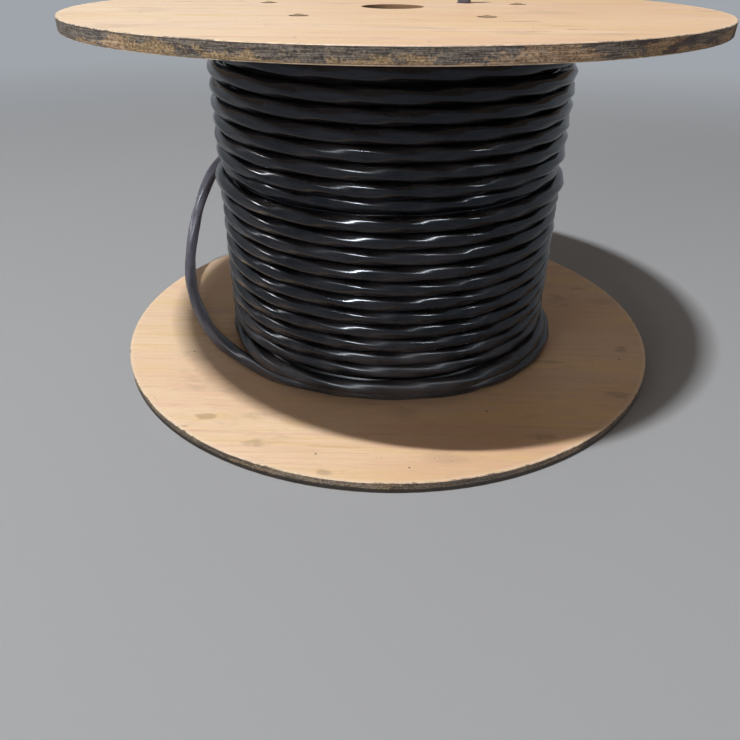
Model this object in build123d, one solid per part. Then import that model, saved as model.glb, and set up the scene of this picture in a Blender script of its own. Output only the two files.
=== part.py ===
from build123d import *
import math
import os

# Wooden cable drum standing on one flange, with its power cable.
# Millimetres. The origin is the middle of the lower flange's underside, +Z is the drum's axis.
# -Y is the side that faces the viewer, where the slack cable loop hangs at the left.

# Drum, the driving dimensions
flange_diameter = 800.0
flange_thickness = 15.0
flange_edge_break = 0.8
traverse = 431.0
arbor_bore_diameter = 80.0
barrel_diameter = 408.0
stave_thickness = 15.0
stave_count = 20
stave_gap = 0.6
stave_groove_depth = 4.0

# Tie bolts, coach bolts whose nuts are sunk in the lower flange
bolt_count = 5
bolt_first_angle = 90.0
bolt_diameter = 8.0
bolt_wall_gap = 9.5
bolt_hole_diameter = 9.0
bolt_head_diameter = 20.6
bolt_head_height = 4.0
bolt_head_rim = 0.8
bolt_head_sink = 2.2
bolt_neck_width = 8.2
bolt_neck_depth = 5.0
bolt_end_recess = 0.5
nut_across_flats = 13.0
nut_height = 4.0
washer_diameter = 24.0
washer_thickness = 2.0
washer_hole_diameter = 9.0
counterbore_diameter = 27.0
counterbore_depth = 7.0

# Cable
cable_diameter = 19.0
cable_layers = 2
turns_per_layer = 22
turn_crest_share = 0.42
turn_groove_depth = 4.5
layer_groove_depth = 3.0
slack_turn = 12
slack_turn_lift = 4.0
sunken_turn_drop = 3.0

# Clearances
seat_clearance = 0.3
thread_clearance = 0.1

# The cable's inner end: it enters the barrel beside the lower flange, rises inside the barrel
# and stands up out of a hole in the upper flange.
tail_angle = 37.5
tail_radius = 122.0
tail_hole_diameter = 24.0
tail_heading = 8.0
tail_inlet_height = 28.0
tail_bend_run = 58.5
tail_bend_turn = 30.0
tail_rise_runs = 3
tail_rise_lean = 6.0
tail_stand = 112.0
tail_tip_lean = 8.0

# The slack loop between the middle of the outer layer and its lowest turn. The points are the
# route's corners, from where the cable leaves the layer behind the drum, out past the flange's
# edge at the left, down onto the lower flange and forwards along it to the layer again.
loop_route = [
    (-35.4, 251.0, 267.0),
    (-131.0, 239.5, 267.0),
    (-228.0, 241.0, 247.0),
    (-315.0, 254.0, 201.0),
    (-359.0, 236.0, 131.0),
    (-368.0, 184.0, 67.0),
    (-350.0, 106.0, 34.0),
    (-314.0, 12.0, 25.5),
    (-267.0, -82.0, 24.8),
    (-214.0, -146.0, 24.8),
    (-179.6, -173.5, 24.8),
]

# Sizes that follow from the ones above
flange_radius = flange_diameter / 2
lower_face = flange_thickness
upper_face = flange_thickness + traverse
drum_height = upper_face + flange_thickness
barrel_radius = barrel_diameter / 2
barrel_inner_radius = barrel_radius - stave_thickness
cable_radius = cable_diameter / 2
turn_pitch = traverse / turns_per_layer
layer_step = math.sqrt(cable_diameter**2 - (turn_pitch / 2) ** 2)
winding_bore_radius = barrel_radius + seat_clearance
winding_radius = winding_bore_radius + cable_diameter + (cable_layers - 1) * layer_step
winding_valley_radius = winding_radius - turn_groove_depth
bolt_circle_radius = barrel_inner_radius - bolt_wall_gap - bolt_diameter / 2
bolt_head_seat = drum_height - bolt_head_sink
bolt_angles = [bolt_first_angle + i * 360 / bolt_count for i in range(bolt_count)]
tail_x = tail_radius * math.cos(math.radians(tail_angle))
tail_y = tail_radius * math.sin(math.radians(tail_angle))


def disc(radius, bottom, top):
    """A plain cylinder on the drum's axis between two heights."""
    return Pos(0, 0, bottom) * Cylinder(
        radius, top - bottom, align=(Align.CENTER, Align.CENTER, Align.MIN)
    )


def post(x, y, radius, bottom, top):
    """A cylinder parallel to the drum's axis."""
    return Pos(x, y, 0) * disc(radius, bottom, top)


def square_post(x, y, width, bottom, top):
    """A square bar parallel to the drum's axis."""
    bar = Box(width, width, top - bottom, align=(Align.CENTER, Align.CENTER, Align.MIN))
    return Pos(x, y, bottom) * bar


def ring(inner, outer, bottom, top):
    """A plain ring on the drum's axis."""
    return disc(outer, bottom, top) - disc(inner, bottom - 1, top + 1)


def turned(points):
    """A solid turned on the drum's axis from a closed outline of (radius, height) points."""
    outline = Polyline([(r, 0, z) for r, z in points], close=True)
    return revolve(make_face(outline), Axis.Z, 360)


def on_bolt_circle(angle):
    """The place of a tie bolt, as x and y."""
    a = math.radians(angle)
    return bolt_circle_radius * math.cos(a), bolt_circle_radius * math.sin(a)


def plywood_disc(bottom):
    """A flange blank: a disc with its rims broken and the arbor bore through it."""
    top = bottom + flange_thickness
    b = flange_edge_break
    r = flange_radius
    blank = turned([
        (0, bottom),
        (r - b, bottom),
        (r, bottom + b),
        (r, top - b),
        (r - b, top),
        (0, top),
    ])
    return blank - disc(arbor_bore_diameter / 2, bottom - 1, top + 1)


def stave_groove(bottom, top):
    """The turned groove that the ends of the staves stand in."""
    inner = barrel_inner_radius - seat_clearance
    outer = barrel_radius + seat_clearance
    return ring(inner, outer, bottom, top)


def make_flange_bottom():
    flange = plywood_disc(0)
    flange -= stave_groove(lower_face - stave_groove_depth, lower_face + 1)
    for angle in bolt_angles:
        x, y = on_bolt_circle(angle)
        flange -= post(x, y, bolt_hole_diameter / 2, -1, lower_face + 1)
        flange -= post(x, y, counterbore_diameter / 2, -1, counterbore_depth)
    return flange


def make_flange_top():
    flange = plywood_disc(upper_face)
    flange -= stave_groove(upper_face - 1, upper_face + stave_groove_depth)
    neck_recess = bolt_neck_width + 2 * thread_clearance
    for angle in bolt_angles:
        x, y = on_bolt_circle(angle)
        flange -= post(x, y, bolt_hole_diameter / 2, upper_face - 1, drum_height + 1)
        # each head is drawn down into the face ply
        flange -= post(x, y, bolt_head_diameter / 2 + seat_clearance, bolt_head_seat, drum_height + 1)
        neck_floor = bolt_head_seat - bolt_neck_depth - seat_clearance
        flange -= square_post(x, y, neck_recess, neck_floor, drum_height + 1)
    # the cable lies against the inner side of its hole, with room for its lean
    slack = tail_hole_diameter / 2 - cable_radius - 2 * seat_clearance
    share = (tail_radius + slack) / tail_radius
    hole = (tail_x * share, tail_y * share, tail_hole_diameter / 2)
    flange -= post(*hole, upper_face - 1, drum_height + 1)
    return flange


def make_stave(index):
    """One coopered stave, a slice of the barrel with its ends in the flanges' grooves."""
    sink = stave_groove_depth - seat_clearance
    bottom = lower_face - sink
    top = upper_face + sink
    half_angle = math.pi / stave_count
    r_in = barrel_inner_radius
    r_out = barrel_radius
    # straight joints parallel to the middle line of each gap
    half_gap = stave_gap / 2

    def corner(radius, side):
        a = side * (half_angle - math.asin(half_gap / radius))
        return radius * math.cos(a), radius * math.sin(a)

    outer = ThreePointArc(corner(r_out, -1), (r_out, 0), corner(r_out, 1))
    inner = ThreePointArc(corner(r_in, 1), (r_in, 0), corner(r_in, -1))
    sides = [
        Line(corner(r_out, 1), corner(r_in, 1)),
        Line(corner(r_in, -1), corner(r_out, -1)),
    ]
    section = make_face([outer, sides[0], inner, sides[1]])
    stave = Pos(0, 0, bottom) * extrude(section, amount=top - bottom)
    return Rot(0, 0, index * 360 / stave_count) * stave


def tail_plane_point(along, height):
    """A point of the upright plane that the tail lies in, which heads outwards a little."""
    a = math.radians(tail_angle - tail_heading)
    return tail_x - along * math.sin(a), tail_y + along * math.cos(a), height


def tail_wall_reach(radius):
    """How far along the tail's plane a circle about the drum's axis is met."""
    outward = tail_radius * math.sin(math.radians(tail_heading))
    return math.sqrt(outward**2 + radius**2 - tail_radius**2) - outward


def tail_route():
    """Corners of the inner end's route, from the barrel wall up to the free tip."""
    inlet = tail_wall_reach(barrel_radius - stave_thickness / 2)
    pitches = [math.radians(step * tail_bend_turn) for step in (1, 2)]
    points = [(inlet, tail_inlet_height)]
    along = tail_bend_run * sum(math.cos(pitch) for pitch in pitches)
    height = tail_inlet_height
    points.append((along, height))
    for pitch in pitches:
        along -= tail_bend_run * math.cos(pitch)
        height += tail_bend_run * math.sin(pitch)
        points.append((along, height))
    rise = (upper_face - height) / tail_rise_runs
    lean = -tail_rise_lean
    for i in range(1, tail_rise_runs):
        points.append((lean, height + i * rise))
        lean = -lean
    points.append((0, drum_height - flange_thickness / 2))
    points.append((-tail_tip_lean, drum_height + tail_stand))
    return [tail_plane_point(a, h) for a, h in points]


def make_barrel_staves():
    """All the staves, with the slanted inlet hole for the cable's inner end."""
    inlet_hole_radius = cable_radius + seat_clearance
    a = tail_plane_point(tail_wall_reach(barrel_inner_radius) - 2 * stave_thickness, tail_inlet_height)
    b = tail_plane_point(tail_wall_reach(barrel_radius) + 2 * stave_thickness, tail_inlet_height)
    direction = Vector(*b) - Vector(*a)
    plane = Plane(origin=a, z_dir=direction)
    drill = plane * Cylinder(
        inlet_hole_radius, direction.length, align=(Align.CENTER, Align.CENTER, Align.MIN)
    )
    staves = []
    for index in range(stave_count):
        stave = make_stave(index)
        cut = stave - drill
        staves.extend(cut.solids())
    return staves


def make_tie_bolt(x, y):
    """A coach bolt: domed head, square neck and a long shank."""
    r = bolt_head_diameter / 2
    rise = bolt_head_height - bolt_head_rim
    dome_radius = (r**2 + rise**2) / (2 * rise)
    ball = Pos(0, 0, bolt_head_height - dome_radius) * Sphere(dome_radius)
    head = Pos(x, y, bolt_head_seat) * (disc(r, 0, bolt_head_height) & ball)
    neck = square_post(x, y, bolt_neck_width, bolt_head_seat - bolt_neck_depth, bolt_head_seat)
    shank = post(x, y, bolt_diameter / 2, bolt_end_recess, bolt_head_seat)
    return head + neck + shank


def make_washer(x, y):
    top = counterbore_depth
    bottom = top - washer_thickness
    plate = post(x, y, washer_diameter / 2, bottom, top)
    return plate - post(x, y, washer_hole_diameter / 2, bottom - 1, top + 1)


def make_tie_nut(x, y):
    top = counterbore_depth - washer_thickness
    bottom = top - nut_height
    hexagon = RegularPolygon(nut_across_flats / 2, 6, major_radius=False)
    body = Pos(x, y, bottom) * extrude(hexagon, amount=nut_height)
    return body - post(x, y, bolt_diameter / 2 + thread_clearance, bottom - 1, top + 1)


def crest_radius(turn):
    """Outer radius of one turn of the outer layer, counted from the lower flange."""
    if turn == slack_turn:
        return winding_radius + slack_turn_lift
    if turn == slack_turn + 1:
        return winding_radius - sunken_turn_drop
    return winding_radius


def winding_side():
    """The outer side's outline: each turn is a crest between two slanted flanks."""
    points = []
    flank = turn_pitch * (1 - turn_crest_share) / 2
    for turn in range(turns_per_layer):
        bottom = lower_face + turn * turn_pitch
        top = bottom + turn_pitch
        crest = crest_radius(turn)
        points.append((winding_valley_radius, bottom))
        points.append((crest, bottom + flank))
        points.append((crest, top - flank))
    return points


def winding_end(height, inward):
    """An end's outline, from the bore outwards: one band for each layer, grooves between."""
    points = [(winding_bore_radius, height)]
    for layer in range(1, cable_layers):
        groove = winding_bore_radius + cable_radius + (layer - 0.5) * layer_step
        points.append((groove - layer_groove_depth, height))
        points.append((groove, height + inward * layer_groove_depth))
        points.append((groove + layer_groove_depth, height))
    return points


def make_cable_winding():
    """The wound cable as one turned solid with the barrel's bore through it."""
    lower_end = winding_end(lower_face, 1)
    upper_end = winding_end(upper_face, -1)
    top_corner = [(winding_valley_radius, upper_face)]
    return turned(lower_end + winding_side() + top_corner + upper_end[::-1])


def corner_radii(route):
    """The largest arcs that the runs allow, one for each inner corner of a route."""
    radii = []
    for before, here, after in zip(route, route[1:], route[2:]):
        first = Vector(*here) - Vector(*before)
        second = Vector(*after) - Vector(*here)
        turn = math.radians(first.get_angle(second))
        shorter = min(first.length, second.length)
        radii.append(0.45 * shorter / math.tan(turn / 2))
    return radii


def make_cord(name, route):
    """A round cable along straight runs joined by tangent arcs."""
    radii = corner_radii(route)
    path = FilletPolyline([Vector(*p) for p in route], radius=radii)
    start = Plane(origin=path @ 0, z_dir=path % 0)
    tube = sweep(start * Circle(cable_radius), path=path)
    expected = math.pi * cable_radius**2 * path.length
    print(name, "length", round(path.length, 1), "radii", [round(r) for r in radii])
    print(name, "volume over section times length", round(tube.volume / expected, 4))
    return tube


def write(name, shapes):
    """Write one node's file from one solid or a list of separate solids."""
    solids = shapes if isinstance(shapes, list) else [shapes]
    solids = [s for shape in solids for s in shape.solids()]
    node = solids[0] if len(solids) == 1 else Compound(children=solids)
    export_step(node, os.path.join("parts", name + ".step"))


def main():
    os.makedirs("parts", exist_ok=True)
    write("flange_bottom", make_flange_bottom())
    write("flange_top", make_flange_top())
    write("barrel_staves", make_barrel_staves())
    for number, angle in enumerate(bolt_angles, start=1):
        x, y = on_bolt_circle(angle)
        write(f"tie_bolt_{number}", make_tie_bolt(x, y))
        write(f"tie_washer_{number}", make_washer(x, y))
        write(f"tie_nut_{number}", make_tie_nut(x, y))
    write("cable_winding", make_cable_winding())
    write("cable_loop", make_cord("cable_loop", loop_route))
    write("cable_tail", make_cord("cable_tail", tail_route()))


main()
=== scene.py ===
import math

import bpy
import numpy as np
from mathutils import Matrix, Vector


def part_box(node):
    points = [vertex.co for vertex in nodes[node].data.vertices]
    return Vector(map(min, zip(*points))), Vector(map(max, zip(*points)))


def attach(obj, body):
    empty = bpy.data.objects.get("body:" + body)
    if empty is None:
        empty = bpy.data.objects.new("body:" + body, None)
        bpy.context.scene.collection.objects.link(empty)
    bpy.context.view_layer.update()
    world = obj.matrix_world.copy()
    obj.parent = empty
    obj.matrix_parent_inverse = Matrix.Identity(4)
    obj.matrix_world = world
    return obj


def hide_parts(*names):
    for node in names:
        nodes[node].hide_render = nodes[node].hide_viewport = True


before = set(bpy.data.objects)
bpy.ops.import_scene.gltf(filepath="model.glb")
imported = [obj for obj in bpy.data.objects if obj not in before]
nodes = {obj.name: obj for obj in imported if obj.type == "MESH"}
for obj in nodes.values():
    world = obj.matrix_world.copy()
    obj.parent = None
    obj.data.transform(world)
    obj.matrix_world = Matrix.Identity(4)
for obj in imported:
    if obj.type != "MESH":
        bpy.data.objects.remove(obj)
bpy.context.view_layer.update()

# Sizes read from the frame, in metres
low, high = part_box("flange_bottom")
flange_radius = high.x
lower_face = high.z
flange_thickness = high.z - low.z
low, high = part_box("flange_top")
upper_face = low.z
drum_height = high.z
low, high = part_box("barrel_staves")
barrel_radius = high.x

# The cable, in metres: its cores show as a ripple on the sheath and as discs where it is cut
cable_diameter = 0.019
cable_radius = cable_diameter / 2
core_count = 4
core_lay = 0.352
core_ripple = 0.0006
core_radius = 0.0030
core_offset = 0.0037
conductor_radius = 0.0020
sheath_thickness = 0.0018
seat = 0.0003
end_inset = 0.0008
inner_layer_radius = barrel_radius + seat + cable_radius

# Control points of the slack loop, in metres. Points four to seven lie a little off the solid's
loop_route = [
    (-0.0354, 0.2510, 0.2670),
    (-0.1310, 0.2395, 0.2670),
    (-0.2280, 0.2410, 0.2470),
    (-0.3100, 0.2530, 0.2000),
    (-0.3480, 0.2350, 0.1310),
    (-0.3600, 0.1830, 0.0680),
    (-0.3480, 0.1060, 0.0345),
    (-0.3140, 0.0120, 0.0255),
    (-0.2670, -0.0820, 0.0248),
    (-0.2140, -0.1460, 0.0248),
    (-0.1796, -0.1735, 0.0248),
]


def tail_route():
    """Corners of the inner end's route, from the barrel wall up to the free tip."""
    angle, heading, radius = math.radians(37.5), math.radians(8), 0.122
    bend_run, bend_turn, inlet_height = 0.0585, 30, 0.028
    rise_lean, tip_lean, stand = 0.006, 0.008, 0.112
    wall = barrel_radius - 0.0075
    outward = radius * math.sin(heading)
    inlet = math.sqrt(outward**2 + wall**2 - radius**2) - outward
    pitches = [math.radians(step * bend_turn) for step in (1, 2)]
    along = bend_run * sum(math.cos(pitch) for pitch in pitches)
    height = inlet_height
    points = [(inlet, height), (along, height)]
    for pitch in pitches:
        along -= bend_run * math.cos(pitch)
        height += bend_run * math.sin(pitch)
        points.append((along, height))
    rise = (upper_face - height) / 3
    points.append((-rise_lean, height + rise))
    points.append((rise_lean, height + 2 * rise))
    points.append((0, drum_height - flange_thickness / 2))
    points.append((-tip_lean, drum_height + stand))
    x, y = radius * math.cos(angle), radius * math.sin(angle)
    a = angle - heading
    return [(x - run * math.sin(a), y + run * math.cos(a), z) for run, z in points]


def smooth(t):
    """0 to 1 with level ends."""
    t = np.clip(t, 0, 1)
    return t * t * (3 - 2 * t)


def through(value, places, heights):
    """A smooth curve through (place, height) pairs, level beyond both ends."""
    places, heights = np.asarray(places, float), np.asarray(heights, float)
    slopes = np.gradient(heights, places)
    slopes[[0, -1]] = 0
    value = np.clip(value, places[0], places[-1])
    i = np.clip(np.searchsorted(places, value, side="right") - 1, 0, len(places) - 2)
    width = places[i + 1] - places[i]
    t = (value - places[i]) / width
    from_start = (2 * t**3 - 3 * t**2 + 1) * heights[i] + (t**3 - 2 * t**2 + t) * width * slopes[i]
    to_end = (3 * t**2 - 2 * t**3) * heights[i + 1] + (t**3 - t**2) * width * slopes[i + 1]
    return from_start + to_end


# Tubes

def nurbs_points(name, route, steps):
    """The points that a NURBS spline with these control points passes through."""
    curve = bpy.data.curves.new(name, "CURVE")
    curve.dimensions = "3D"
    curve.resolution_u = steps
    spline = curve.splines.new("NURBS")
    spline.points.add(len(route) - 1)
    for point, place in zip(spline.points, route):
        point.co = (*place, 1)
    spline.order_u = 3
    spline.use_endpoint_u = True
    holder = bpy.data.objects.new(name, curve)
    bpy.context.scene.collection.objects.link(holder)
    mesh = bpy.data.meshes.new_from_object(holder)
    points = np.array([v.co for v in mesh.vertices], float)
    bpy.data.objects.remove(holder)
    bpy.data.curves.remove(curve)
    bpy.data.meshes.remove(mesh)
    return points


def unit(v):
    return v / np.linalg.norm(v, axis=-1, keepdims=True)


def tangents(points):
    return unit(np.gradient(points, axis=0))


def carried_frames(points, first):
    """Side directions along a line, carried from the first one without twist."""
    along = tangents(points)
    side = [unit(first - along[0] * (first @ along[0]))]
    for t in along[1:]:
        s = side[-1] - t * (side[-1] @ t)
        side.append(unit(s))
    return np.array(side)


def radial_frames(points, along):
    """Side directions that point away from the drum's axis."""
    out = points * np.array([1, 1, 0])
    out = out - along * np.sum(out * along, axis=1, keepdims=True)
    return unit(out)


section = np.radians(np.arange(0, 360, 15))
cap_hold = 0.02


def tube_rings(points, along, sides, phase):
    """Rings of a twisted-core cable round a line. Returns them and the lobes' last phase."""
    up = np.cross(along, sides)
    run = np.r_[0, np.cumsum(np.linalg.norm(np.diff(points, axis=0), axis=1))]
    lobe = phase + 2 * np.pi * run / core_lay
    angle = section[None, :] - lobe[:, None]
    radius = cable_radius + core_ripple * (np.cos(core_count * angle) - 0.5)
    rings = (points[:, None, :]
             + (radius * np.cos(section))[..., None] * sides[:, None, :]
             + (radius * np.sin(section))[..., None] * up[:, None, :])
    return rings, lobe[-1]


def rings_to_mesh(name, ring_sets, material):
    """One object from several runs of rings, each closed with a cap at both ends."""
    verts, faces = [], []
    for rings in ring_sets:
        # rings close to both ends keep the caps out of the sides' shading
        near_start = rings[:1] * (1 - cap_hold) + rings[1:2] * cap_hold
        near_end = rings[-1:] * (1 - cap_hold) + rings[-2:-1] * cap_hold
        rings = np.concatenate([rings[:1], near_start, rings[1:-1], near_end, rings[-1:]])
        count, around = rings.shape[:2]
        start = len(verts)
        verts.extend(rings.reshape(-1, 3).tolist())
        for i in range(count - 1):
            a = start + i * around
            for j in range(around):
                k = (j + 1) % around
                faces.append((a + j, a + k, a + around + k, a + around + j))
        faces.append(tuple(start + j for j in reversed(range(around))))
        last = start + (count - 1) * around
        faces.append(tuple(last + j for j in range(around)))
    mesh = bpy.data.meshes.new(name)
    mesh.from_pydata(verts, [], faces)
    mesh.validate()
    mesh.polygons.foreach_set("use_smooth", [len(f) == 4 for f in faces])
    piece = bpy.data.objects.new(name, mesh)
    bpy.context.scene.collection.objects.link(piece)
    piece.data.materials.append(material)
    return piece


# The winding's outer layer. Azimuths are in degrees and run anticlockwise from +X, so 270 faces
# the viewer. Turns are counted from the lower flange. They lie level round the front and change
# row at the back, between two azimuths.

change_start, change_end = 60.0, 120.0
layer_radius = 0.2305
bottom_height = lower_face + cable_radius + seat
slack_turn = 13
top_turn = 22
top_turn_start, top_turn_rise = 150, 34
sunken_turn_drop = 0.0056

# Heights of the turns' middles above the floor, and how much higher they are at the left, both in
# millimetres
turn_heights = {
    3: 57.8, 4: 77.4, 5: 97.0, 6: 116.6, 7: 135.9, 8: 155.3, 9: 174.6, 10: 194.6, 11: 215.3,
    12: 235.2, 13: 257.5, 14: 276.6, 15: 295.2, 16: 314.9, 17: 334.9, 18: 354.3, 19: 374.1,
    20: 394.2, 21: 416.9, 22: 436.1,
}
lean_left = {3: -3.0, 4: -5.0, 5: -5.0, 6: -4.5, 7: -3.5, 8: -3.0, 9: -2.5, 10: -2.2,
             11: -2.0, 12: -1.0, 13: 1.5, 14: 1.0, 18: 0.6, 19: 1.5, 20: 2.6, 21: 3.4}
ring_step = 0.0088
crossover_lift = 0.0022


def turn_height(turn, azimuth):
    """Height of one turn's middle at azimuths from 60 to 480."""
    level = turn_heights[turn] / 1000
    left = lean_left.get(turn, 0) / 1000
    # the lean has gone by azimuth 255
    return level + left * (1 - smooth((azimuth - 205) / 50))


def wander(run, seed, size):
    """A slow, seeded drift along the cable."""
    rng = np.random.default_rng(seed)
    total = np.zeros_like(run)
    for length in (2.1, 0.83, 0.47, 0.29):
        total += size * rng.uniform(0.4, 1) * np.sin(run / length * 2 * np.pi + rng.uniform(0, 6.28))
    return total / 2


def row_points(azimuth, radius, height):
    a = np.radians(azimuth)
    return np.c_[radius * np.cos(a), radius * np.sin(a), height]


def change_share(azimuth):
    """How far a turn has gone over to the next row, from its azimuth past 120."""
    return smooth((azimuth - 360 - change_start) / (change_end - change_start))


def on_axis(place):
    """A route point's azimuth and radius."""
    return math.degrees(math.atan2(place[1], place[0])) % 360, math.hypot(place[0], place[1])


def upper_run():
    """From the inner layer's top turn down to the slack turn, which leaves at the back.

    u is the azimuth counted on along the cable, and a lap begins at each change_end.
    """
    leave_azimuth, leave_radius = on_axis(loop_route[0])
    step = math.degrees(ring_step / layer_radius)
    last = 360 * (top_turn - slack_turn) + 360 + leave_azimuth
    u = np.linspace(top_turn_start, last, int((last - top_turn_start) / step))
    k = np.floor((u - change_end) / 360).astype(int)
    azimuth = u - 360 * k
    height = np.zeros_like(u)
    radius = np.full_like(u, layer_radius)
    for lap in range(k.max() + 1):
        here = k == lap
        turn = top_turn - lap
        az = azimuth[here]
        now = turn_height(turn, az)
        if turn > slack_turn:
            share = change_share(az)
            after = turn_height(turn - 1, az - 360)
            now = now * (1 - share) + after * share
            radius[here] += crossover_lift * 4 * share * (1 - share)
        height[here] = now
    radius += wander(np.radians(u) * layer_radius, 5, 0.0004) * (1 - smooth((u - last + 40) / 40))
    # it comes up from the inner layer at the left
    start = smooth((u - top_turn_start) / top_turn_rise)
    radius = inner_layer_radius + (radius - inner_layer_radius) * start
    # the turn above the slack one is pulled in
    deep = u - 360 * (top_turn - slack_turn - 1)
    radius -= sunken_turn_drop * smooth((deep - 130) / 70) * (1 - smooth((deep - 350) / 60))
    # the slack turn stands proud and swings out to the loop
    slack = u - 360 * (top_turn - slack_turn)
    swing = leave_radius - layer_radius
    proud = through(slack, [60, 120, 185, 270, 345, 400, 425, 360 + leave_azimuth],
                    [0, 0.0005, 0.0048, 0.0042, 0.0040, 0.0056, 0.0098, swing])
    radius = radius + np.where(slack > 60, proud, 0)
    rise = loop_route[0][2] - turn_heights[slack_turn] / 1000
    height = height + np.where(slack > 60, rise * smooth((slack - 395) / (leave_azimuth - 35)), 0)
    return row_points(u, radius, height)


# The two lowest turns of the outer layer, in degrees and millimetres. The first, (azimuth,
# radius), comes in from the loop, lies on the flange and spreads again at the right. The
# second, (azimuth, radius, height), is squeezed out over it.
first_turn = [
    (230, 247.5), (237, 244.4), (247, 236.8), (257, 235.2), (272, 233.2), (288, 236.8),
    (301, 241.4), (315, 244.6), (330, 247.2), (352, 247.5), (385, 241.0), (420, 232.5),
    (480, 230.5),
]
second_turn = [
    (120, 230.5, 24.8), (180, 231.0, 33.0), (195, 232.8, 34.5), (205, 234.5, 36.5),
    (212, 237.5, 38.0), (219, 241.5, 39.5), (228, 247.5, 43.0), (240, 249.0, 42.3),
    (252, 247.8, 40.2), (262, 245.8, 40.0), (274, 244.2, 40.9), (286, 246.8, 40.8),
    (296, 248.6, 41.8), (308, 246.8, 43.3), (318, 245.2, 43.4), (331, 242.6, 43.2),
    (345, 240.0, 42.6), (360, 236.0, 42.2), (390, 231.5, 42.0), (480, 230.5, 42.0),
]


def lower_run():
    """From the loop's end as the lowest turn up to the turn below the slack one."""
    join_azimuth, join_radius = on_axis(loop_route[-1])
    step = math.degrees(ring_step / layer_radius)
    last = 360 * (slack_turn - 2) + 360 + 60
    u = np.linspace(join_azimuth, last, int((last - join_azimuth) / step))
    k = np.floor((u - change_end) / 360).astype(int)
    azimuth = u - 360 * k
    height = np.zeros_like(u)
    radius = np.full_like(u, layer_radius)
    radius += wander(np.radians(u) * layer_radius, 11, 0.0004)
    second_azimuth, second_radius, second_height = np.array(second_turn).T
    for lap in range(k.max() + 1):
        here = k == lap
        turn = 1 + lap
        az = azimuth[here]
        if turn == 1:
            now = np.full_like(az, bottom_height)
        elif turn == 2:
            now = through(az, second_azimuth, second_height / 1000)
            radius[here] += through(az, second_azimuth, second_radius / 1000) - layer_radius
        else:
            now = turn_height(turn, az)
        if turn < slack_turn - 1:
            share = change_share(az)
            after = bottom_height if turn == 1 else turn_height(turn + 1, az - 360)
            now = now * (1 - share) + after * share
            radius[here] += crossover_lift * 4 * share * (1 - share)
        height[here] = now
    # a point 6 degrees before the join gives it the slope that the loop arrives with
    join_radius *= 1000
    join = [(join_azimuth - 6, join_radius + 3.2), (join_azimuth, join_radius)]
    first_azimuth, first_radius = np.array(join + first_turn).T
    radius = np.where(u < 480, through(u, first_azimuth, first_radius / 1000), radius)
    return row_points(u, radius, height)


def inner_layer(material):
    """The layer beneath, turned, which shows only through the gaps between turns."""
    pitch = (upper_face - lower_face) / top_turn
    bore = barrel_radius + seat
    outline = [(bore, upper_face - seat), (bore, lower_face + seat)]
    for turn in range(top_turn):
        z = lower_face + (turn + 0.5) * pitch
        for degrees in range(-75, 76, 25):
            t = math.radians(degrees)
            place = (inner_layer_radius + cable_radius * math.cos(t), z + cable_radius * math.sin(t))
            outline.append(place)
    outline = np.array(outline)
    outline[:, 1] = np.clip(outline[:, 1], lower_face + seat, upper_face - seat)
    around = 128
    verts, faces = [], []
    for i in range(around):
        a = 2 * math.pi * i / around
        verts.extend((r * math.cos(a), r * math.sin(a), z) for r, z in outline)
    n = len(outline)
    for i in range(around):
        j = (i + 1) % around
        for m in range(n):
            o = (m + 1) % n
            faces.append((i * n + m, j * n + m, j * n + o, i * n + o))
    mesh = bpy.data.meshes.new("cable_inner_layer")
    mesh.from_pydata(verts, [], faces)
    mesh.polygons.foreach_set("use_smooth", [True] * len(faces))
    piece = bpy.data.objects.new("cable_inner_layer", mesh)
    bpy.context.scene.collection.objects.link(piece)
    piece.data.materials.append(material)
    return piece


# Materials

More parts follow.
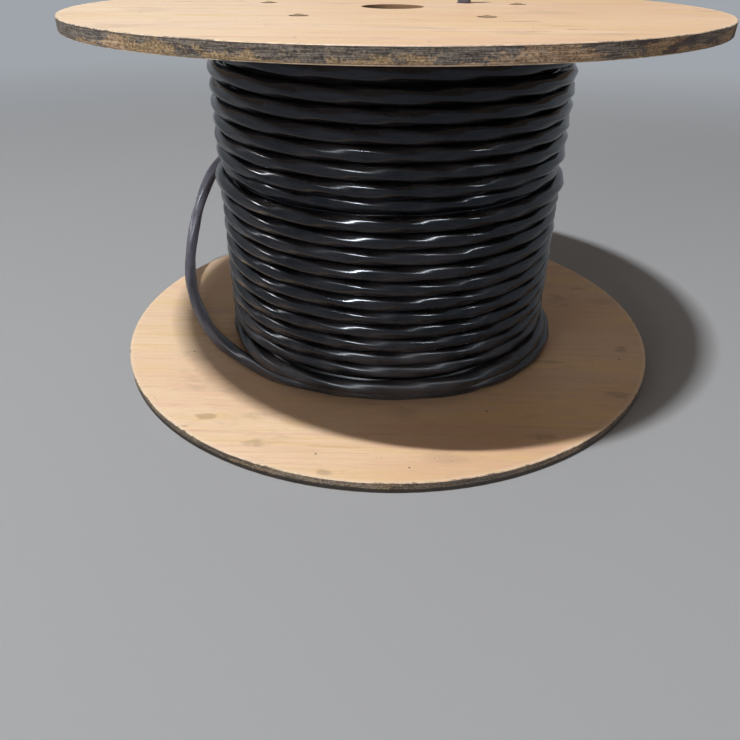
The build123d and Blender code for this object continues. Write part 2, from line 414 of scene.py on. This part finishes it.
class Shader:
    """A node material while it is put together."""

    def __init__(self, name, roughness=0.5, **sockets):
        self.material = bpy.data.materials.new(name)
        self.material.use_nodes = True
        tree = self.material.node_tree
        self.nodes, self.links = tree.nodes, tree.links
        self.nodes.clear()
        self.out = self.nodes.new("ShaderNodeOutputMaterial")
        self.surface = self.nodes.new("ShaderNodeBsdfPrincipled")
        self.surface.inputs["Roughness"].default_value = roughness
        for socket, value in sockets.items():
            self.surface.inputs[socket.replace("_", " ")].default_value = value
        self.links.new(self.surface.outputs[0], self.out.inputs["Surface"])
        self.place = self.nodes.new("ShaderNodeTexCoord").outputs["Object"]
        split = self.node("ShaderNodeSeparateXYZ", {0: self.place})
        self.x, self.y, self.z = split.outputs

    def node(self, kind, inputs=None, **settings):
        made = self.nodes.new(kind)
        for key, value in settings.items():
            setattr(made, key, value)
        for key, value in (inputs or {}).items():
            if isinstance(value, bpy.types.NodeSocket):
                self.links.new(value, made.inputs[key])
            else:
                made.inputs[key].default_value = value
        return made

    def math(self, operation, a, b=0.0, c=0.0, clamp=False):
        made = self.node("ShaderNodeMath", {0: a, 1: b, 2: c}, operation=operation, use_clamp=clamp)
        return made.outputs[0]

    def add(self, a, b):
        return self.math("ADD", a, b)

    def times(self, a, b):
        return self.math("MULTIPLY", a, b)

    def ramp(self, value, start, end, low=0.0, high=1.0):
        """value carried smoothly from start..end to low..high."""
        made = self.node("ShaderNodeMapRange", {0: value, 1: start, 2: end, 3: low, 4: high},
                         interpolation_type="SMOOTHSTEP")
        return made.outputs[0]

    def distance(self, x=0.0, y=0.0):
        """Distance from the upright line through (x, y)."""
        dx, dy = self.add(self.x, -x), self.add(self.y, -y)
        return self.math("SQRT", self.add(self.times(dx, dx), self.times(dy, dy)))

    def mix(self, share, a, b, kind="MIX"):
        made = self.node("ShaderNodeMix", {0: share, 6: a, 7: b}, data_type="RGBA", blend_type=kind)
        return made.outputs[2]

    def scaled(self, sx, sy, sz, dx=0.0, dy=0.0, dz=0.0):
        """The place, stretched and shifted."""
        made = self.node("ShaderNodeMapping", {0: self.place})
        made.inputs["Scale"].default_value = (sx, sy, sz)
        made.inputs["Location"].default_value = (dx, dy, dz)
        return made.outputs[0]

    def noise(self, place, scale=1.0, detail=3.0, rough=0.5, bend=0.0):
        made = self.node("ShaderNodeTexNoise", {"Vector": place, "Scale": scale, "Detail": detail,
                                                "Roughness": rough, "Distortion": bend})
        return made.outputs[0]

    def bump(self, height, strength, distance):
        made = self.node("ShaderNodeBump", {"Height": height})
        made.inputs["Strength"].default_value = strength
        made.inputs["Distance"].default_value = distance
        self.links.new(made.outputs[0], self.surface.inputs["Normal"])

    def colour(self, socket):
        self.links.new(socket, self.surface.inputs["Base Color"])

    def roughness(self, socket):
        self.links.new(socket, self.surface.inputs["Roughness"])


def rgb(r, g, b):
    """A display colour, 0 to 255, as the linear colour that a shader takes."""
    def linear(c):
        c = c / 255
        return c / 12.92 if c <= 0.04045 else ((c + 0.055) / 1.055) ** 2.4
    return (linear(r), linear(g), linear(b), 1.0)


def cable_material():
    """Black glossy sheath under a haze of dust, greyer low down, darker at the top with painted shade,
    and blue-grey where it hangs free with dust and a painted reflection of bright surroundings.
    """
    s = Shader("cable_sheath", roughness=0.2, Specular_IOR_Level=0.36,
               Specular_Tint=(0.70, 0.85, 1.0, 1.0))
    out = s.distance()
    fine = s.noise(s.place, 420, 3, 0.6)
    broad = s.noise(s.place, 15, 4, 0.6)
    scuff = s.noise(s.scaled(30, 30, 260), 1, 4, 0.7)
    lumps = s.noise(s.place, 48, 2, 0.5)
    cloud = s.ramp(s.add(s.times(broad, 0.6), s.times(scuff, 0.4)), 0.36, 0.64)
    # dust haze that thins towards the top, so the upper turns are darker: painted shade under the top
    # flange
    dust_and_top_shade = s.times(cloud, s.ramp(s.z, 0.2, 0.42, 1.0, 0.35))
    base = s.mix(dust_and_top_shade, rgb(15, 14, 17), rgb(44, 42, 47))
    low_down = s.ramp(s.z, 0.03, 0.15, 0.24, 0.0)
    base = s.mix(s.times(low_down, cloud), base, rgb(96, 84, 80))
    # where it hangs free, on the loop and the inner end's tip, the sheath is blue-grey: partly dust,
    # partly a painted reflection of bright surroundings
    free = s.math("MAXIMUM", s.ramp(out, 0.262, 0.300), s.ramp(s.z, drum_height - 0.01, drum_height))
    base = s.mix(s.times(free, s.add(s.times(cloud, 0.35), 0.55)), base, rgb(104, 104, 118))
    marks = s.ramp(scuff, 0.68, 0.80)
    s.colour(s.mix(s.times(marks, 0.5), base, rgb(96, 94, 96)))
    dull = s.add(s.ramp(broad, 0.35, 0.7, 0.10, 0.20), s.times(scuff, 0.08))
    dull = s.add(dull, s.add(s.times(free, 0.06), s.ramp(s.z, 0.03, 0.13, 0.20, 0.0)))
    s.roughness(dull)
    s.bump(s.add(lumps, s.times(fine, 0.05)), 0.35, 0.0006)
    return s.material


# Marks in the face plies, (x, y, half length, half width) in metres, long along the grain
top_marks = [
    (0.132, -0.192, 0.026, 0.0045), (0.125, -0.290, 0.020, 0.0040), (0.142, 0.067, 0.009, 0.0040),
    (0.166, 0.128, 0.011, 0.0050), (0.172, -0.270, 0.012, 0.0040), (0.199, -0.252, 0.008, 0.0030),
    (-0.212, 0.080, 0.010, 0.0060), (-0.236, -0.205, 0.012, 0.0030), (-0.070, 0.262, 0.016, 0.0040),
]
low_marks = [
    (0.288, 0.072, 0.018, 0.0260), (-0.158, -0.333, 0.022, 0.0080), (-0.231, -0.282, 0.014, 0.0070),
    (-0.068, -0.383, 0.012, 0.0050), (0.262, -0.289, 0.016, 0.0080), (0.195, -0.308, 0.024, 0.0080),
    (-0.252, -0.302, 0.006, 0.0030), (-0.275, -0.258, 0.007, 0.0030), (0.060, 0.330, 0.020, 0.0060),
    (0.352, -0.088, 0.014, 0.0110), (0.338, 0.122, 0.016, 0.0080), (0.316, -0.212, 0.016, 0.0090),
    (0.238, -0.130, 0.024, 0.0050),
]
specks = [
    (-0.081, -0.351), (-0.285, -0.120), (0.133, -0.257), (0.343, -0.119), (-0.310, 0.060),
    (0.030, -0.372),
]
ply_count = 7.0


def plywood_material(name, bottom, seed, marks, streaks, soot, soot_light, bare, bare_light,
                     covered, reach, right_bare, black_below):
    """A flange: sanded face plies, and an edge of plies under old grime.

    bottom: height of its underside; streaks: how strong the face's grain and marks are, and the painted
    light at the left; the less of it, the more painted shade at the right
    soot and bare: the edge's grime and wood, each dark and light
    covered: how little of the edge is grimy; reach: how much more is grimy near the face
    right_bare: how much less at the right; black_below: height up to which the edge is black, as a
    share
    """
    s = Shader(name, roughness=0.62)
    normal = s.node("ShaderNodeTexCoord").outputs["Normal"]
    upright = s.math("ABSOLUTE", s.node("ShaderNodeSeparateXYZ", {0: normal}).outputs[2])
    out = s.distance()
    level = s.times(s.add(s.z, -bottom), 1 / flange_thickness)

    # face ply, with the grain along X
    cloud = s.noise(s.scaled(2.4, 6.0, 2.4, seed, seed), 1, 3, 0.5)
    figure = s.noise(s.scaled(2.6, 30, 2.6, seed), 1, 5, 0.62, 1.4)
    band = s.noise(s.scaled(6, 150, 6, seed), 1, 4, 0.65, 0.4)
    fibre = s.noise(s.scaled(30, 1100, 30), 1, 3, 0.6)
    pore = s.noise(s.scaled(75, 900, 75, seed), 1, 2, 0.5)
    face = s.mix(s.ramp(cloud, 0.3, 0.7), rgb(232, 194, 156), rgb(244, 216, 184))
    # painted light: the face is paler towards the left
    painted_light_left = s.ramp(s.add(s.x, s.times(cloud, 0.2)), -0.2, 0.2, 0.55, 0.0)
    face = s.mix(s.times(painted_light_left, 0.15 + 1.05 * streaks), face, rgb(255, 240, 216))
    # painted shade: browner and darker towards the right, on the lower flange only
    painted_shade_right = s.ramp(s.add(s.x, s.times(cloud, 0.15)), 0.02, 0.32, 0.0, 0.5 - 0.5 * streaks)
    face = s.mix(painted_shade_right, face, rgb(182, 142, 102))
    face = s.mix(s.times(s.ramp(figure, 0.50, 0.62), 0.55), face, rgb(236, 204, 146))
    face = s.mix(s.times(s.ramp(figure, 0.36, 0.47, 1.0, 0.0), 0.45), face, rgb(234, 190, 164))
    lined = s.times(s.ramp(band, 0.52, 0.70), s.ramp(cloud, 0.35, 0.6, 0.35 * streaks, 0.8 * streaks))
    face = s.mix(lined, face, rgb(206, 164, 122))
    face = s.mix(s.times(s.ramp(fibre, 0.4, 0.8), 0.25), face, rgb(190, 148, 112))
    face = s.mix(s.times(s.ramp(pore, 0.64, 0.78), 0.5), face, rgb(160, 118, 84))

    # darker eyes and bruises, torn at their edges, and a few specks
    torn = s.noise(s.scaled(60, 300, 60, seed), 1, 4, 0.75)
    blurred = s.noise(s.scaled(40, 70, 40, seed), 1, 2, 0.5)
    eyes = None
    for x, y, half_x, half_y in marks:
        dx = s.times(s.add(s.x, -x), 1 / half_x)
        dy = s.times(s.add(s.y, -y), 1 / half_y)
        near = s.add(s.add(s.times(dx, dx), s.times(dy, dy)), s.times(s.add(blurred, -0.5), 5.0))
        eye = s.ramp(s.add(near, s.times(torn, 1.6)), 0.3, 1.9, 1.0, 0.0)
        eyes = eye if eyes is None else s.math("MAXIMUM", eyes, eye)
    face = s.mix(s.times(eyes, 0.3 + 0.25 * streaks), face, rgb(146, 116, 92))
    smear = s.noise(s.scaled(9, 21, 9, seed, 3.0), 1, 4, 0.65)
    face = s.mix(s.times(s.ramp(smear, 0.55, 0.72), 0.35), face, rgb(176, 150, 128))
    grit = s.noise(s.place, 210, 1, 0.4)
    face = s.mix(s.times(s.ramp(grit, 0.78, 0.81), 0.7), face, rgb(84, 62, 46))
    for x, y in specks:
        near = s.distance(x, y)
        face = s.mix(s.ramp(near, 0.0008, 0.0018, 0.85, 0.0), face, rgb(62, 44, 34))

    # grime round the bolts, and painted shade round their sunk heads, by the distance to the nearest
    # one
    turn = s.math("ARCTAN2", s.y, s.x)
    fold = s.math("PINGPONG", s.add(turn, -bolt_first), bolt_spacing / 2)
    across = s.times(s.times(out, s.math("COSINE", fold)), -2 * bolt_circle)
    gap = s.math("SQRT", s.add(s.add(s.times(out, out), bolt_circle**2), across))
    dirt_and_seat_shade = s.ramp(gap, bolt_head_radius, bolt_head_radius + 0.004, 1.0, 0.0)
    dirt_and_seat_shade = s.times(dirt_and_seat_shade, s.ramp(torn, 0.35, 0.6, 0.1, 0.8))
    face = s.mix(s.times(dirt_and_seat_shade, 0.8), face, rgb(96, 68, 46))

    # the rim: a pale bruised line, then crumbs of grime
    crumb = s.noise(s.place, 120, 5, 0.75)
    worn = s.ramp(out, flange_radius - 0.007, flange_radius - 0.002)
    face = s.mix(s.times(worn, 0.25), face, rgb(250, 238, 220))
    ragged = s.add(out, s.times(s.add(crumb, -0.5), 0.008))
    ragged = s.ramp(ragged, flange_radius - 0.0015, flange_radius + 0.0001)
    crumbly = s.ramp(smear, 0.42, 0.58, 0.25, 0.9)
    face = s.mix(s.times(ragged, crumbly), face, rgb(70, 62, 54))

    # edge plies
    speck = s.noise(s.scaled(400, 400, 480), 1, 4, 0.8)
    dash = s.noise(s.scaled(260, 260, 190), 1, 2, 0.5)
    strand = s.noise(s.scaled(40, 40, 900), 1, 4, 0.7)
    tone = s.noise(s.scaled(7, 7, 14, seed), 1, 3, 0.6)
    crossed = s.math("GREATER_THAN", s.math("MODULO", s.times(level, ply_count), 2.0), 1.0)
    plies = s.mix(s.ramp(strand, 0.42, 0.58), rgb(*bare), rgb(*bare_light))
    plies = s.mix(s.times(crossed, s.ramp(dash, 0.46, 0.56, 0.0, 0.6)), plies, rgb(92, 70, 52))
    plies = s.mix(s.ramp(tone, 0.42, 0.58, 0.0, 0.6), plies, rgb(124, 106, 74))

    # grime on the edge in blots, most of it next to the face and at the left
    blot = s.noise(s.scaled(46, 46, 105, seed), 1, 6, 0.72)
    wide = s.noise(s.scaled(10, 10, 22, seed, 4.0), 1, 2, 0.5)
    cover = s.add(s.add(blot, s.times(s.add(wide, -0.5), 1.5)), s.times(s.add(level, -0.5), reach))
    cover = s.add(cover, s.ramp(s.x, 0.05, 0.28, 0.0, -right_bare))
    cover = s.add(cover, s.ramp(s.x, -0.30, -0.05, 0.07, 0.0))
    grime = s.mix(s.ramp(strand, 0.42, 0.60), rgb(*soot), rgb(*soot_light))
    edge = s.mix(s.ramp(cover, covered - 0.04, covered + 0.04, 0.0, 0.9), plies, grime)
    pale = s.mix(s.ramp(tone, 0.42, 0.56), rgb(166, 164, 160), rgb(206, 184, 142))
    share = s.ramp(cover, covered - 0.05, covered + 0.10, 0.85, 0.32)
    share = s.times(s.ramp(speck, 0.50, 0.66), share)
    edge = s.mix(share, edge, pale)
    edge = s.mix(s.ramp(speck, 0.34, 0.50, 0.75, 0.0), edge, rgb(32, 29, 31))
    wet = s.noise(s.scaled(22, 22, 100, seed, 7.0), 1, 4, 0.65)
    wet = s.add(wet, s.ramp(s.x, 0.05, 0.3, -0.10, 0.03))
    edge = s.mix(s.ramp(wet, 0.56, 0.61, 0.0, 0.85), edge, rgb(44, 28, 36))

    # a dark upper line, a brown lower one, the black foot and a warmer tone at the right
    upper_line = s.ramp(s.add(level, s.times(crumb, 0.25)), 0.98, 1.08, 0.0, 0.8)
    edge = s.mix(upper_line, edge, rgb(46, 40, 37))
    edge = s.mix(s.ramp(level, 0.04, 0.16, 0.75, 0.0), edge, rgb(100, 80, 56))
    waved = s.add(level, s.times(s.add(tone, -0.5), 0.25))
    foot = s.ramp(waved, black_below - 0.05, black_below + 0.05, 0.9, 0.0)
    edge = s.mix(foot, edge, rgb(16, 13, 13))
    edge = s.mix(s.ramp(s.x, 0.08, 0.32, 0.0, 0.6), edge, rgb(255, 226, 188), "MULTIPLY")

    # the walls of the holes are clean
    rim = s.ramp(out, 0.30, 0.35)
    inside = s.mix(strand, rgb(150, 116, 82), rgb(196, 158, 116))
    edge = s.mix(rim, inside, edge)
    side = s.ramp(upright, 0.35, 0.75, 1.0, 0.0)
    s.colour(s.mix(side, face, edge))
    s.roughness(s.ramp(side, 0.0, 1.0, 0.56, 0.86))
    relief = s.add(s.times(s.add(fibre, band), 0.25), s.times(side, s.add(speck, s.times(strand, 0.8))))
    s.bump(relief, 0.5, 0.0007)
    return s.material


stave_count = 20


def stave_material():
    """Planed softwood, its grain upright, each stave of its own tone."""
    s = Shader("stave_wood", roughness=0.6)
    turn = s.math("ARCTAN2", s.y, s.x)
    number = s.math("FLOOR", s.add(s.times(turn, stave_count / (2 * math.pi)), 0.5))
    tone = s.node("ShaderNodeTexWhiteNoise", {"W": number}, noise_dimensions="1D").outputs["Value"]
    grain = s.noise(s.scaled(150, 150, 3.0), 1, 5, 0.6, 0.6)
    fibre = s.noise(s.scaled(900, 900, 20), 1, 2, 0.5)
    base = s.mix(tone, rgb(188, 148, 102), rgb(212, 176, 128))
    base = s.mix(s.times(s.ramp(grain, 0.45, 0.7), 0.6), base, rgb(150, 106, 66))
    s.colour(s.mix(s.times(fibre, 0.2), base, rgb(120, 84, 54)))
    s.bump(s.add(grain, fibre), 0.3, 0.0006)
    return s.material


def zinc_material(name, centre, head_radius):
    """Dull zinc plating under dust, with grime and painted shade of its sunk seat towards the outside
    of the piece.
    """
    s = Shader(name, roughness=0.6, Metallic=0.25)
    cloud = s.noise(s.place, 260, 4, 0.65)
    out = s.add(s.distance(centre.x, centre.y), s.times(s.add(cloud, -0.5), 0.006))
    # the head darkens towards its outside: grime and painted shade where it sits in its sunk seat
    ring = s.ramp(out, head_radius * 0.50, head_radius * 0.85)
    plain = s.mix(s.ramp(cloud, 0.35, 0.7), rgb(142, 116, 88), rgb(198, 170, 134))
    s.colour(s.mix(s.times(ring, 0.9), plain, rgb(58, 42, 28)))
    s.roughness(s.ramp(cloud, 0.3, 0.7, 0.45, 0.7))
    s.bump(cloud, 0.4, 0.0005)
    return s.material


def copper_material():
    """Bare cut copper strands."""
    s = Shader("cut_copper", roughness=0.35, Metallic=1.0)
    strand = s.noise(s.place, 1500, 2, 0.5)
    s.colour(s.mix(strand, rgb(150, 84, 52), rgb(214, 136, 96)))
    s.bump(strand, 0.6, 0.0003)
    return s.material


def insulation_material():
    """Black core insulation, duller than the sheath."""
    s = Shader("core_insulation", roughness=0.5)
    fine = s.noise(s.place, 900, 3, 0.6)
    s.colour(s.mix(fine, rgb(22, 22, 23), rgb(52, 51, 50)))
    s.bump(fine, 0.3, 0.0003)
    return s.material


def prism(verts, faces, slots, centre, along, side, radius, length, slot):
    """A round bar of the cut face, added to lists of vertices, faces and material numbers."""
    around = 24
    start = len(verts)
    up = np.cross(along, side)
    for lift in (0.0, length):
        for j in range(around):
            a = 2 * math.pi * j / around
            place = centre + along * lift + radius * (math.cos(a) * side + math.sin(a) * up)
            verts.append(tuple(place))
    for j in range(around):
        k = (j + 1) % around
        faces.append((start + j, start + k, start + around + k, start + around + j))
    faces.append(tuple(start + around + j for j in range(around)))
    faces.append(tuple(start + j for j in reversed(range(around))))
    slots.extend([slot] * (around + 2))


def cut_face(name, centre, along, side, replaced):
    """The sheath's rim, the filler and the cores where the cable is cut."""
    verts, faces, slots = [], [], []
    up = np.cross(along, side)
    inside = cable_radius - sheath_thickness
    prism(verts, faces, slots, centre, along, side, inside, 0.45 * end_inset, 1)
    for number in range(core_count):
        a = math.radians(45 + number * 360 / core_count)
        middle = centre + core_offset * (math.cos(a) * side + math.sin(a) * up)
        prism(verts, faces, slots, middle, along, side, core_radius, 0.8 * end_inset, 1)
        prism(verts, faces, slots, middle, along, side, conductor_radius, end_inset, 2)
    mesh = bpy.data.meshes.new(name)
    mesh.from_pydata(verts, [], faces)
    for material in (sheath, insulation, copper):
        mesh.materials.append(material)
    mesh.polygons.foreach_set("material_index", slots)
    piece = bpy.data.objects.new(name, mesh)
    bpy.context.scene.collection.objects.link(piece)
    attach(piece, "root")
    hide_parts(replaced)
    return piece


low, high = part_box("tie_bolt_1")
bolt_centre = (low + high) / 2
bolt_circle = math.hypot(bolt_centre.x, bolt_centre.y)
bolt_head_radius = (high.x - low.x) / 2
bolt_first = math.atan2(bolt_centre.y, bolt_centre.x)
bolt_count = sum(name.startswith("tie_bolt_") for name in nodes)
bolt_spacing = 2 * math.pi / bolt_count

sheath = cable_material()
insulation = insulation_material()
copper = copper_material()
ply_top = plywood_material(
    "plywood_top", bottom=upper_face, seed=2.0, marks=top_marks, streaks=1.0,
    soot=(46, 46, 50), soot_light=(124, 120, 117), bare=(144, 112, 80), bare_light=(216, 184, 146),
    covered=0.475, reach=0.24, right_bare=0.11, black_below=-1.0)
ply_low = plywood_material(
    "plywood_low", bottom=0.0, seed=11.0, marks=low_marks, streaks=0.45,
    soot=(62, 54, 48), soot_light=(116, 104, 92), bare=(104, 90, 74), bare_light=(156, 142, 122),
    covered=0.46, reach=0.05, right_bare=0.0, black_below=0.42)
stave_wood = stave_material()

for name, node in nodes.items():
    node.data.materials.clear()
    if name.startswith("tie_"):
        low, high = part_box(name)
        material = zinc_material(f"zinc_{name}", (low + high) / 2, (high.x - low.x) / 2)
    elif name.startswith("cable"):
        material = sheath
    elif name == "barrel_staves":
        material = stave_wood
    else:
        material = ply_top if name == "flange_top" else ply_low
    node.data.materials.append(material)

# Cords and winding, one cable from its inner to its outer end
loop_line = nurbs_points("loop_line", loop_route, 12)
loop_along = tangents(loop_line)

upper = upper_run()
upper_along = tangents(upper)
upper_along[-1] = loop_along[0]
upper_sides = radial_frames(upper, upper_along)
rings_upper, phase = tube_rings(upper, upper_along, upper_sides, 0.0)

lower = lower_run()
lower_along = tangents(lower)
lower_along[0] = loop_along[-1]
lower[-1] -= lower_along[-1] * end_inset
lower_sides = radial_frames(lower, lower_along)

# the loop's frames are turned evenly on their way, so that they meet the lowest turn's
loop_sides = carried_frames(loop_line, upper_sides[-1])
loop_up = np.cross(loop_along, loop_sides)
turned = math.atan2(lower_sides[0] @ loop_up[-1], lower_sides[0] @ loop_sides[-1])
twist = np.linspace(0, turned, len(loop_line))[:, None]
loop_sides = np.cos(twist) * loop_sides + np.sin(twist) * loop_up
rings_loop, phase = tube_rings(loop_line, loop_along, loop_sides, phase)
rings_lower, _ = tube_rings(lower, lower_along, lower_sides, phase)

winding = rings_to_mesh("cable_wound", [rings_upper, rings_lower], sheath)
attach(winding, "root")
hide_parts("cable_winding")

inner = inner_layer(sheath)
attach(inner, "root")
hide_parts("cable_winding")

loop = rings_to_mesh("cable_slack_loop", [rings_loop], sheath)
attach(loop, "root")
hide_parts("cable_loop")

tail_line = nurbs_points("tail_line", tail_route(), 12)
tail_along = tangents(tail_line)
tail_line[-1] -= tail_along[-1] * end_inset
tail_sides = carried_frames(tail_line, np.array([0.0, 0.0, 1.0]))
rings_tail, _ = tube_rings(tail_line, tail_along, tail_sides, 0.0)
tail = rings_to_mesh("cable_inner_end", [rings_tail], sheath)
tail_face = cut_face("cable_inner_cut", tail_line[-1], tail_along[-1], tail_sides[-1], "cable_tail")
cut_face("cable_outer_cut", lower[-1], lower_along[-1], lower_sides[-1], "cable_winding")
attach(tail, "root")
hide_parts("cable_tail")
tail_route()[0]


# Floor, light and camera

floor_colour = rgb(160, 165, 171)
target_height = 0.2

# Name, azimuth, elevation, width, height, watts
streak_lamps = [
    ("front_left", 249, 33, 0.60, 0.16, 95),
    ("front", 233, 31, 0.45, 0.10, 6),
    ("front_right", 303, 45, 0.50, 0.14, 42),
    ("right", 330, 30, 0.45, 0.12, 16),
    ("left", 176, 30, 0.45, 0.12, 30),
]


def floor_material():
    """Matt near the drum, where it takes the shadow, and plain colour further out."""
    s = Shader("floor", roughness=0.8)
    s.surface.inputs["Base Color"].default_value = floor_colour
    far = s.node("ShaderNodeVectorMath", {0: s.place}, operation="LENGTH").outputs["Value"]
    share = s.ramp(far, 1.2, 3.5)
    ray = s.node("ShaderNodeLightPath").outputs
    seen = s.math("MAXIMUM", ray["Is Camera Ray"], ray["Is Glossy Ray"])
    seen = s.math("MAXIMUM", seen, ray["Is Transmission Ray"])
    glow = s.node("ShaderNodeEmission", {"Color": floor_colour, "Strength": 1.0})
    share = s.times(share, seen)
    both = s.node("ShaderNodeMixShader", {0: share, 1: s.surface.outputs[0], 2: glow.outputs[0]})
    s.links.new(both.outputs[0], s.out.inputs["Surface"])
    return s.material


def make_floor():
    """A plain floor that reaches the horizon."""
    mesh = bpy.data.meshes.new("floor")
    half = 30.0
    mesh.from_pydata([(-half, -half, 0), (half, -half, 0), (half, half, 0), (-half, half, 0)],
                     [], [(0, 1, 2, 3)])
    floor = bpy.data.objects.new("floor", mesh)
    bpy.context.scene.collection.objects.link(floor)
    floor.data.materials.append(floor_material())


def area_light(name, place, target, width, height, watts, colour):
    """A rectangular lamp that faces its target."""
    lamp = bpy.data.lights.new(name, "AREA")
    lamp.shape = "RECTANGLE"
    lamp.size, lamp.size_y = width, height
    lamp.energy = watts
    lamp.color = colour
    holder = bpy.data.objects.new(name, lamp)
    holder.location = place
    holder.rotation_euler = (Vector(target) - Vector(place)).to_track_quat("-Z", "Y").to_euler()
    bpy.context.scene.collection.objects.link(holder)
    return holder


def lamp_place(azimuth, elevation, distance):
    """A place seen from the middle of the winding in this direction."""
    a, e = math.radians(azimuth), math.radians(elevation)
    flat = distance * math.cos(e)
    return (flat * math.cos(a), flat * math.sin(a), target_height + distance * math.sin(e))


def make_light():
    """A weak warm world, seen as the floor's colour, with a key, fills and streak lamps."""
    world = bpy.data.worlds.new("studio")
    world.use_nodes = True
    tree = world.node_tree
    background = tree.nodes["Background"]
    background.inputs["Color"].default_value = (1.0, 0.70, 0.47, 1)
    background.inputs["Strength"].default_value = 0.078
    pale = tree.nodes.new("ShaderNodeBackground")
    pale.inputs["Color"].default_value = floor_colour
    ray = tree.nodes.new("ShaderNodeLightPath")
    seen = ray.outputs["Is Camera Ray"]
    for kind in ("Is Glossy Ray", "Is Transmission Ray"):
        either = tree.nodes.new("ShaderNodeMath")
        either.operation = "MAXIMUM"
        tree.links.new(seen, either.inputs[0])
        tree.links.new(ray.outputs[kind], either.inputs[1])
        seen = either.outputs[0]
    mixed = tree.nodes.new("ShaderNodeMixShader")
    tree.links.new(seen, mixed.inputs[0])
    tree.links.new(background.outputs[0], mixed.inputs[1])
    tree.links.new(pale.outputs[0], mixed.inputs[2])
    tree.links.new(mixed.outputs[0], tree.nodes["World Output"].inputs["Surface"])
    bpy.context.scene.world = world
    middle = (0, 0, target_height)
    # the key, a strip that hangs level, so it blurs the shadow's sides more than its front
    x, y, z = -1.03, -1.1, 5.5
    area_light("key", (x, y, z), (x, y, 0), 0.45, 0.08, 272, (1.0, 0.97, 0.94))
    # wide fills that light the upright sides and don't mirror in the cable
    for name, azimuth, watts in (("fill_front", 235, 50), ("fill_back", 80, 30)):
        place = lamp_place(azimuth, 6, 4.0)
        fill = area_light(name, place, middle, 2.0, 0.6, watts, (1.0, 0.95, 0.9))
        fill.visible_glossy = False
    # small lamps, for the streaks on the cable only
    for name, azimuth, elevation, width, height, watts in streak_lamps:
        place = lamp_place(azimuth, elevation, 3.6)
        streak = area_light(name, place, middle, width, height, watts, (1.0, 0.90, 0.84))
        streak.visible_diffuse = False


def make_camera():
    """At the place and angle that the photograph was taken from."""
    yaw, pitch, roll = -0.0273, 0.5647, -0.0053
    cy, sy, cp, sp = math.cos(yaw), math.sin(yaw), math.cos(pitch), math.sin(pitch)
    forward = Vector((sy * cp, cy * cp, -sp))
    level = Vector((cy, -sy, 0))
    down = forward.cross(level)
    right = level * math.cos(roll) + down * math.sin(roll)
    lower_side = down * math.cos(roll) - level * math.sin(roll)
    camera = bpy.data.cameras.new("camera")
    camera.lens = 32.45
    camera.sensor_width = 36.0
    holder = bpy.data.objects.new("camera", camera)
    turn = Matrix((right, -lower_side, -forward)).transposed().to_4x4()
    holder.matrix_world = Matrix.Translation((0, -0.9661, 0.5244)) @ turn
    bpy.context.scene.collection.objects.link(holder)
    bpy.context.scene.camera = holder


make_floor()
make_light()
make_camera()
bpy.context.scene.view_settings.view_transform = "Standard"
